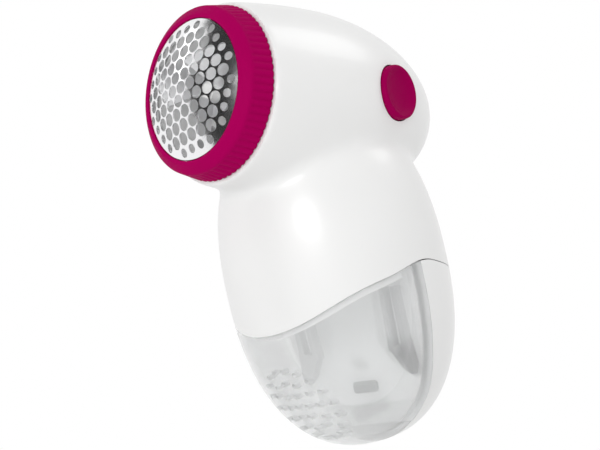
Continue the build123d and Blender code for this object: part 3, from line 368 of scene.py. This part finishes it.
# The hollow inside the skin, one wall's thickness in.
hollow = twin(skin, "hollow")
apply_modifier(hollow, "DISPLACE", strength=-WALL * MM, mid_level=0)


def slab(name, outline):
    """A tool block 120 mm wide across X, with a drawn outline in the YZ plane."""
    curve = bpy.data.curves.new(name, "CURVE")
    curve.dimensions = "2D"
    curve.fill_mode = "BOTH"
    curve.extrude = 60 * MM
    curve.resolution_u = 24
    loop = curve.splines.new("BEZIER")
    loop.use_cyclic_u = True
    loop.bezier_points.add(len(outline) - 1)
    for knot, (y, z, pull_back, pull_on) in zip(loop.bezier_points, outline):
        knot.handle_left_type = "FREE"
        knot.handle_right_type = "FREE"
        knot.co = (y * MM, z * MM, 0)
        knot.handle_left = ((y - pull_back[0]) * MM, (z - pull_back[1]) * MM, 0)
        knot.handle_right = ((y + pull_on[0]) * MM, (z + pull_on[1]) * MM, 0)
    made = bpy.data.objects.new(name, curve)
    bpy.context.scene.collection.objects.link(made)
    made.matrix_world = Matrix(((0, 0, 1, 0), (1, 0, 0, 0), (0, 1, 0, 0), (0, 0, 0, 1)))
    only(made)
    bpy.ops.object.convert(target="MESH")
    made = bpy.context.object
    settle(made)
    bpy.ops.object.mode_set(mode="EDIT")
    bpy.ops.mesh.select_all(action="SELECT")
    bpy.ops.mesh.remove_doubles(threshold=0.002 * MM)
    bpy.ops.mesh.normals_make_consistent(inside=False)
    bpy.ops.object.mode_set(mode="OBJECT")
    return made


def seam_tool(shift, above):
    """Everything above or below the wavy seam, moved down and back by shift."""
    bow = 0.38
    seam = [
        (22.0, -79.5, 0.514, 0.857),
        (30.5, -67.8, 0.639, 0.769),
        (41.0, -57.6, 0.825, 0.566),
        (52.0, -51.4, 0.860, 0.510),
        (65.0, -46.3, 0.998, 0.060),
    ]
    outline = []
    for k, (y, z, ty, tz) in enumerate(seam):
        back = math.dist(seam[k][:2], seam[k - 1][:2]) * bow if k else 0
        on = math.dist(seam[k][:2], seam[k + 1][:2]) * bow if k < len(seam) - 1 else 0
        outline.append((y + shift, z - shift, (ty * back, tz * back), (ty * on, tz * on)))
    still = ((0, 0), (0, 0))
    far = 60 if above else -160
    low, top = outline[0], outline[-1]
    behind, ahead = 150, -60
    outline += [(behind, top[1], *still), (behind, far, *still)]
    outline += [(ahead, far, *still), (ahead, low[1], *still)]
    return slab("seam_tool", outline)


def split_tool(shift, ahead):
    """Everything ahead of or behind the container's rear edge, moved back by shift."""
    lean_cos, lean_sin = math.cos(HANDLE_LEAN), math.sin(HANDLE_LEAN)
    off_axis = 4.1 + shift
    rear = 72.0 + shift
    rise = 70
    low = -170
    turn = 2.3
    turn_bow = 0.62
    base = (HANDLE_AT.y + off_axis * lean_cos, HANDLE_AT.z + off_axis * lean_sin)
    corner = (rear, base[1] + (base[0] - rear) / lean_sin * lean_cos)
    top = (base[0] - rise * lean_sin, base[1] + rise * lean_cos)
    still = ((0, 0), (0, 0))
    before = (corner[0] - turn * lean_sin, corner[1] + turn * lean_cos)
    after = (corner[0], corner[1] - turn)
    pull = turn * turn_bow
    side = -80 if ahead else 180
    outline = [
        (*top, *still),
        (*before, (0, 0), (pull * lean_sin, -pull * lean_cos)),
        (*after, (0, -pull), (0, 0)),
        (rear, low, *still),
        (side, low, *still),
        (side, top[1], *still),
    ]
    return slab("split_tool", outline)


shell = twin(skin, "shell")
carve(shell, hollow)


# Upper housing: one white ABS moulding for the head and the upper handle, down to the wavy
# seam. Its front is counterbored for the cutter ring, its side bored for the push button.
RECESS_R = 25.05
RECESS_DEPTH = 6
RECESS_MIDDLE_Y = 11.8
BUTTON_AT = Vector((26.3416, 56.6, 3.0944))
BUTTON_OUT = Vector((0.96303, 0.24451, 0.11313)).normalized()
BUTTON_HOLE_R = 8.55
BUTTON_HOLE_DEPTH = 16


def round_tool(radius, depth, middle, axis, sides):
    """A round cutter of these sizes in millimetres, along an axis."""
    bpy.ops.mesh.primitive_cylinder_add(vertices=sides, radius=radius * MM, depth=depth * MM)
    made = bpy.context.object
    made.rotation_mode = "QUATERNION"
    made.rotation_quaternion = axis.to_track_quat("Z", "Y")
    made.location = middle * MM
    settle(made)
    return made


housing = twin(shell, "upper_housing_shell")
trim(housing, seam_tool(-PARTING, True), "INTERSECT")
bpy.ops.mesh.primitive_cylinder_add(
    vertices=160,
    radius=RECESS_R * MM,
    depth=RECESS_DEPTH * MM,
    location=(0, RECESS_MIDDLE_Y * MM, 0),
    rotation=upright,
)
trim(housing, bpy.context.object)
trim(housing, round_tool(BUTTON_HOLE_R, BUTTON_HOLE_DEPTH, BUTTON_AT, BUTTON_OUT, 96))
smooth(housing)
white_abs = moulded(
    "white_abs", (0.84, 0.84, 0.835), 0.34, grain=0.0003, depth=0.003, mottle=0.012, coat=0.15
)
dress(housing, white_abs)
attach(housing, "housing")
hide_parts("upper_housing")


# Battery door: a white ABS moulding that closes the lower rear of the handle. It meets the
# housing along the seam and the container along its side edges, and slides off downwards.
door = twin(shell, "battery_door_shell")
trim(door, seam_tool(PARTING, False), "INTERSECT")
trim(door, split_tool(PARTING, False), "INTERSECT")
smooth(door)
dress(door, white_abs)
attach(door, "door")
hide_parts("battery_door")


# Lint container: a cup of frosted clear styrene in the lower front of the handle, with a
# thick flat rear wall. Its front is drilled with circles of fine vents, so that the blown
# air gets out and the lint stays in.
REAR_WALL = 2.3
VENT_R = 0.75
VENT_DEPTH = 34
VENT_AHEAD = 21
VENTS_DOWN = 34.6
VENT_CIRCLES = ((0, 1), (4.0, 6), (7.9, 12), (11.8, 18))
vent_back = Vector((0, math.cos(HANDLE_LEAN), math.sin(HANDLE_LEAN)))
vent_up = Vector((0, -math.sin(HANDLE_LEAN), math.cos(HANDLE_LEAN)))
vent_middle = HANDLE_AT - vent_up * VENTS_DOWN
container = twin(skin, "lint_container_cup")
room_inside = twin(hollow, "room_inside")
trim(room_inside, split_tool(-PARTING - REAR_WALL, True), "INTERSECT")
trim(container, room_inside)
trim(container, seam_tool(PARTING, False), "INTERSECT")
trim(container, split_tool(-PARTING, True), "INTERSECT")
drills, spots = [], []
for circle, count in VENT_CIRCLES:
    for k in range(count):
        turn = 2 * math.pi * k / count
        spot = vent_middle + Vector((circle * math.cos(turn), 0, 0))
        spot += vent_up * circle * math.sin(turn)
        spots.append(spot)
        middle = spot - vent_back * VENT_AHEAD
        drills.append(round_tool(VENT_R, VENT_DEPTH, middle, vent_back, 20))
only(*drills)
bpy.ops.object.join()
trim(container, bpy.context.object)
smooth(container)
frosted = moulded(
    "frosted_styrene", (0.97, 0.98, 0.98), 0.24, grain=0.0002, depth=0.003, mottle=0.01
)
tune(frosted, {"Transmission Weight": 0.6, "Alpha": 0.48})
dress(container, frosted)
milky = moulded("milky_styrene", (0.96, 0.97, 0.97), 0.4, grain=0.0002, depth=0.003, mottle=0.01)
container.data.materials.append(milky)
# Vent bores: painted shade, a light grey inside the holes that is a little less clear than the
# cup.
vent_bore = moulded("vent_bore", (0.80, 0.81, 0.81), 0.5, mottle=0.06)
tune(vent_bore, {"Alpha": 0.6})
container.data.materials.append(vent_bore)


def from_nearest_vent(place):
    """How far a point in millimetres lies from the axis of the nearest vent."""
    return min(((place - s) - vent_back * (place - s).dot(vent_back)).length for s in spots)


for face in container.data.polygons:
    place = face.center / MM
    facing = abs(face.normal.dot(vent_back))
    if facing > 0.9 and (place - HANDLE_AT).dot(vent_back) > 1.0:
        face.material_index = 1
    elif facing < 0.4 and from_nearest_vent(place) < VENT_R + 0.05:
        face.material_index = 2
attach(container, "container")
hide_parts("lint_container")
drop(shell, skin, hollow)


# Cutter ring: magenta ABS, turned by hand to unlock the foil. A plain sloping rim runs
# into a band of fine grip ribs, pressed in between the crests in two steps.
RIBS = 72
RIB_BAND = (3.5, 9.6)
RIB_FROM_R = 24.6
RIB_STEPS = ((0.25, 0.75, 0.993), (0.4, 0.6, 0.992))
RING_AXIS = (Vector((0, 0, 0)), Vector((0, 1, 0)), Vector((1, 0, 0)))


def turned(name, profile, steps, middle, axis, radial):
    """A closed (radius, height) outline in millimetres, spun about an axis."""
    mesh = bpy.data.meshes.new(name)
    points = [(middle + radial * r + axis * h) * MM for r, h in profile]
    edges = [(k, (k + 1) % len(points)) for k in range(len(points))]
    mesh.from_pydata(points, edges, [])
    made = bpy.data.objects.new(name, mesh)
    bpy.context.scene.collection.objects.link(made)
    only(made)
    bpy.ops.object.mode_set(mode="EDIT")
    bpy.ops.mesh.select_all(action="SELECT")
    bpy.ops.mesh.spin(steps=steps, angle=2 * math.pi, center=middle * MM, axis=axis)
    bpy.ops.mesh.select_all(action="SELECT")
    bpy.ops.mesh.remove_doubles(threshold=0.002 * MM)
    bpy.ops.mesh.dissolve_degenerate(threshold=0.001 * MM)
    bpy.ops.mesh.normals_make_consistent(inside=False)
    bpy.ops.object.mode_set(mode="OBJECT")
    return made


ring = turned(
    "cutter_ring_grip",
    [
        (21.0, 1.7), (21.0, 0.3), (21.08, 0.08), (21.3, 0.0), (21.9, 0.0), (22.3, 0.12),
        (22.6, 0.32), (24.4, 1.64), (24.75, 1.95), (24.92, 2.3), (25.0, 2.8), (25.15, 3.7),
        (25.9, 8.5), (26.0, 9.2), (25.85, 9.5), (23.2, 9.5), (23.2, 1.7),
    ],
    RIBS * 6,
    *RING_AXIS,
)
for low, high, squeeze in RIB_STEPS:
    bpy.ops.object.mode_set(mode="EDIT")
    bpy.ops.mesh.select_all(action="DESELECT")
    bpy.ops.mesh.select_mode(type="VERT")
    bpy.ops.object.mode_set(mode="OBJECT")
    for point in ring.data.vertices:
        p = point.co / MM
        turn = (math.degrees(math.atan2(p.z, p.x)) % 360) / (360 / RIBS) % 1
        in_band = math.hypot(p.x, p.z) > RIB_FROM_R and RIB_BAND[0] < p.y < RIB_BAND[1]
        point.select = in_band and low < turn < high
    bpy.ops.object.mode_set(mode="EDIT")
    bpy.ops.transform.resize(value=(squeeze, 1, squeeze), center_override=(0, 0, 0))
    bpy.ops.object.mode_set(mode="OBJECT")
smooth(ring, 50)
magenta_abs = moulded("magenta_abs", (0.37, 0.0002, 0.088), 0.5, grain=0.0003, mottle=0.04)
tune(magenta_abs, {"Specular IOR Level": 0.01})
dress(ring, magenta_abs)
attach(ring, "ring")
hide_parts("cutter_ring")


# Power button: a dished cap of deeper magenta ABS with a raised rim, sitting in its hole
# with an even gap. A flange behind the housing's wall keeps it from falling out.
BUTTON_SIDE = BUTTON_OUT.cross(Vector((0, 0, 1))).normalized()
button = turned(
    "power_button_cap",
    [
        (0.0, -0.25), (2.5, -0.2), (4.6, 0.0), (6.0, 0.32), (6.7, 0.68), (7.1, 0.94),
        (7.5, 1.05), (7.85, 0.98), (8.1, 0.72), (8.2, 0.35), (8.2, -4.9), (9.8, -4.9),
        (9.8, -6.1), (6.7, -6.1), (6.7, -2.2), (1.7, -2.2), (1.7, -3.0), (0.0, -3.0),
    ],
    96,
    BUTTON_AT,
    BUTTON_OUT,
    BUTTON_SIDE,
)
smooth(button, 40)
button_abs = moulded("magenta_button_abs", (0.31, 0.0, 0.072), 0.4, grain=0.0003, mottle=0.04)
tune(button_abs, {"Specular IOR Level": 0.01})
dress(button, button_abs)
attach(button, "button")
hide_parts("power_button")


# Foil: a thin domed screen of bright rolled steel, punched with round holes and held by
# its flange behind the ring's lip. Faint rolling lines run across it.
STEEL_LINE = 0.00004
STEEL_LINE_DEPTH = 0.0000015


def steel(name, colour, roughness, mottle=0.05):
    """Drawn or ground steel: fine streaks along X in gloss and relief, on a patchy tint."""
    made = bpy.data.materials.new(name)
    made.use_nodes = True
    nodes, links = made.node_tree.nodes, made.node_tree.links
    shader = nodes["Principled BSDF"]
    place = nodes.new("ShaderNodeTexCoord")
    stretch = nodes.new("ShaderNodeMapping")
    stretch.inputs["Scale"].default_value = (0.04, 1, 1)
    lines = nodes.new("ShaderNodeTexNoise")
    lines.inputs["Scale"].default_value = 0.25 / STEEL_LINE
    lines.inputs["Detail"].default_value = 3
    patches = nodes.new("ShaderNodeTexNoise")
    patches.inputs["Scale"].default_value = 90
    patches.inputs["Detail"].default_value = 4
    tint = nodes.new("ShaderNodeValToRGB")
    tint.color_ramp.elements[0].color = (*[c * (1 - mottle) for c in colour], 1)
    tint.color_ramp.elements[1].color = (*[min(1, c * (1 + mottle)) for c in colour], 1)
    gloss = nodes.new("ShaderNodeMapRange")
    gloss.inputs["To Min"].default_value = roughness * 0.7
    gloss.inputs["To Max"].default_value = roughness * 1.3
    bump = nodes.new("ShaderNodeBump")
    bump.inputs["Strength"].default_value = 0.2
    bump.inputs["Distance"].default_value = STEEL_LINE_DEPTH
    links.new(place.outputs["Object"], stretch.inputs["Vector"])
    links.new(stretch.outputs["Vector"], lines.inputs["Vector"])
    links.new(place.outputs["Object"], patches.inputs["Vector"])
    links.new(patches.outputs["Fac"], tint.inputs["Fac"])
    links.new(tint.outputs["Color"], shader.inputs["Base Color"])
    links.new(lines.outputs["Fac"], gloss.inputs["Value"])
    links.new(gloss.outputs["Result"], shader.inputs["Roughness"])
    links.new(lines.outputs["Fac"], bump.inputs["Height"])
    links.new(bump.outputs["Normal"], shader.inputs["Normal"])
    shader.inputs["Metallic"].default_value = 1
    return made


def dress_all(names, material):
    """Gives several machine parts the same material."""
    for name in names:
        dress(nodes_of[name], material)


dress_all(["foil"], steel("foil_steel_bright", (0.88, 0.88, 0.89), 0.15))


# Lint path: the retainer that snaps in behind the foil, the round cutter bed with its
# outlet, the duct down and the deck over the container, all moulded in pale ABS.
pale_abs = moulded("pale_abs", (0.96, 0.96, 0.96), 0.5, mottle=0.02)
dress_all(["foil_retainer", "cutter_bed", "lint_chute", "deck"], pale_abs)


# Cutter: three wings stamped from one steel sheet, on a white nylon hub that is pressed on
# the motor's ground shaft.
dress_all(["blades"], steel("blade_steel_stamped", (0.90, 0.90, 0.91), 0.4))
dress_all(["blade_hub"], moulded("hub_nylon", (0.94, 0.94, 0.93), 0.5, mottle=0.05))
dress_all(["motor_shaft"], steel("shaft_steel_ground", (0.62, 0.62, 0.64), 0.2))


# Motor: a zinc-plated steel can with two ferrite magnets round a wound armature, closed by
# a black nylon end cap with brass tabs, and clamped in a pale ABS cradle.
dress_all(["motor_can"], steel("can_zinc", (0.60, 0.60, 0.62), 0.35, mottle=0.1))
dress_all(["motor_armature"], steel("armature_stack", (0.35, 0.20, 0.12), 0.45, mottle=0.3))
dress_all(["motor_magnets"], moulded("ferrite", (0.02, 0.02, 0.022), 0.6, mottle=0.3))
black_nylon = moulded("black_nylon", (0.02, 0.02, 0.022), 0.5, mottle=0.2)
dress_all(["motor_end_cap"], black_nylon)
brass_tab = steel("brass_tab", (0.70, 0.50, 0.20), 0.28)
dress_all(["motor_terminals"], brass_tab)
dress_all(["motor_cradle"], pale_abs)


# Battery bay: two cells in plain green sleeves stand in a pale ABS tray, between springs below
# and flat tabs above, all of nickel-plated steel.
dress_all(["battery_tray"], pale_abs)
dress_all(["battery_cells"], moulded("cell_jacket", (0.03, 0.10, 0.05), 0.3, mottle=0.1))
contact_nickel = steel("contact_nickel", (0.70, 0.69, 0.66), 0.22)
dress_all(["bottom_contact", "top_contacts", "contact_springs"], contact_nickel)


# Switch: a black nylon body with a pale plunger and brass tabs, on a pale ABS carrier
# behind the button, with the steel spring that pushes the button back out.
dress_all(["switch_carrier"], pale_abs)
dress_all(["switch_body"], black_nylon)
dress_all(["switch_plunger"], moulded("plunger_nylon", (0.70, 0.70, 0.66), 0.45))
dress_all(["switch_terminals"], brass_tab)
dress_all(["button_spring"], contact_nickel)


# Screws: zinc-plated pan heads that fix the cutter bed, the battery tray and the switch
# carrier in the housing's bosses.
screw_zinc = steel("screw_zinc", (0.55, 0.55, 0.56), 0.3, mottle=0.1)
dress_all(["bed_screws", "tray_screws", "carrier_screws"], screw_zinc)


# Container catches: a pair of acetal springs standing on the container's rear wall.
# They are painted near black as painted shade, which stays at the low block; the prongs turn
# pale upwards and the far catch is paler, painted light from the frosted wall over them.
BLOCK_TOP = -0.0735
PRONG_PALE = -0.0670
FAR_SIDE = 0.004
# Painted shade: the catch's base colour is near black, and it stays so at the low block.
catch_acetal = moulded("catch_acetal", (0.012, 0.012, 0.013), 0.45, mottle=0.1)
tree = catch_acetal.node_tree
shader = tree.nodes["Principled BSDF"]
place = tree.nodes["Texture Coordinate"]
split = tree.nodes.new("ShaderNodeSeparateXYZ")
upward = tree.nodes.new("ShaderNodeMapRange")
upward.inputs["From Min"].default_value = BLOCK_TOP
upward.inputs["From Max"].default_value = PRONG_PALE
across = tree.nodes.new("ShaderNodeMapRange")
across.inputs["From Min"].default_value = FAR_SIDE
across.inputs["From Max"].default_value = -FAR_SIDE
# Painted light: the prongs turn pale grey upwards.
painted_pale_upward = tree.nodes.new("ShaderNodeMix")
painted_pale_upward.data_type = "RGBA"
painted_pale_upward.inputs["B"].default_value = (0.50, 0.50, 0.51, 1)
# Painted light: the far catch is paler all over.
far = tree.nodes.new("ShaderNodeMix")
far.data_type = "RGBA"
far.inputs["B"].default_value = (0.55, 0.55, 0.56, 1)
tree.links.new(place.outputs["Object"], split.inputs[0])
tree.links.new(split.outputs["Z"], upward.inputs["Value"])
tree.links.new(split.outputs["X"], across.inputs["Value"])
tree.links.new(upward.outputs["Result"], painted_pale_upward.inputs["Factor"])
tree.links.new(tree.nodes["Color Ramp"].outputs["Color"], painted_pale_upward.inputs["A"])
tree.links.new(across.outputs["Result"], far.inputs["Factor"])
tree.links.new(painted_pale_upward.outputs["Result"], far.inputs["A"])
tree.links.new(far.outputs["Result"], shader.inputs["Base Color"])
dress_all(["container_catches"], catch_acetal)


# Rest pad: a small rounded block of black rubber, stuck on the container's rear wall low
# down, between the catches.
dress_all(["rest_pad"], moulded("pad_rubber", (0.03, 0.03, 0.03), 0.7, mottle=0.2))


# Wires: soft PVC leads soldered from the motor to the switch, the switch to the cells and
# the cells back to the motor, the first two red and the last black.
red_pvc = moulded("red_pvc", (0.45, 0.01, 0.01), 0.45, mottle=0.1)
dress_all(["motor_switch_wire", "switch_cell_wire"], red_pvc)
dress_all(["cell_motor_wire"], moulded("black_pvc", (0.01, 0.01, 0.01), 0.45, mottle=0.2))
